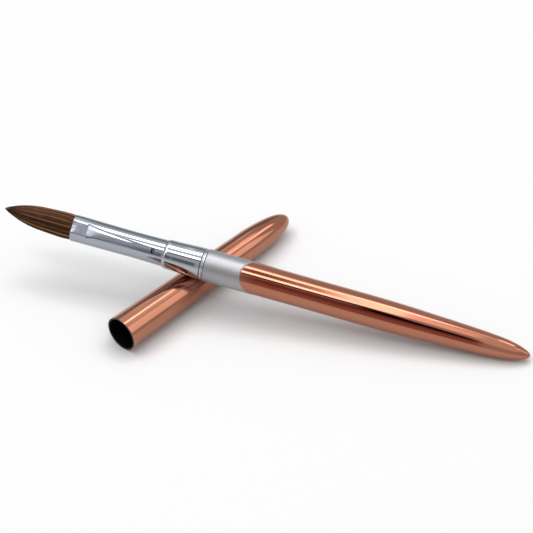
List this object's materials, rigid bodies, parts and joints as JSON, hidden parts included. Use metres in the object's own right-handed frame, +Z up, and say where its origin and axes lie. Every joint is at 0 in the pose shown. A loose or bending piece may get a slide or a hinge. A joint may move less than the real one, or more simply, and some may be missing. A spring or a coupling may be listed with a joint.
{
  "type": "acrylic nail brush",
  "caption": "Round pointed nail brush with crimped ferrule, slant-cut satin collar and tapered metal handle, lying across its loose tubular cap.",
  "frame": {"origin": "on the table, under the middle of the rectangle that the brush and cap cover", "axes": "+Z up; -X is the way the cap's mouth faces, so +X runs to its closed nose; the brush lies above it, hair end towards +Y and tail towards -Y"},
  "size_m": [0.0884, 0.1622, 0.0275],
  "materials": {
    "rose_gold": "mirror-polished rose-gold plating on drawn alloy",
    "black_plastic": "moulded black plastic, slightly glossy",
    "chrome_plate": "bright plating over brass, brushed where the crimping tool pressed",
    "satin_alloy": "fine bead-blasted satin",
    "spindle_alloy": "as turned",
    "core_plastic": "plain moulded plastic",
    "hair": "fine natural hair, golden brown with dark tips",
    "thread": "waxed binding thread",
    "glue": "set epoxy"
  },
  "bodies": {
    "cap": {"cap_shell": "rose_gold", "cap_liner": "black_plastic"},
    "brush": {"ferrule": "chrome_plate", "hair_root": "hair", "tie_thread": "thread", "root_glue": "glue", "core_rod": "spindle_alloy", "neck_sleeve": "chrome_plate", "neck_ring": "chrome_plate", "collar": "satin_alloy", "handle_core": "core_plastic", "handle_shell": "rose_gold"},
    "tuft": {"hair_tuft": "hair"}
  },
  "joints": [
    {"name": "brush_lift", "type": "slide", "parent": "cap", "child": "brush", "axis": [0, 0, 1], "range_m": [0, 0.08]},
    {"name": "tuft_flex", "type": "hinge", "parent": "brush", "child": "tuft", "pos_m": [-0.02996, 0.05913, 0.02205], "axis": [0.6667, 0.2513, 0.7017], "range_deg": [-25, 25], "stiffness_Nm_per_rad": 0.003}
  ]
}
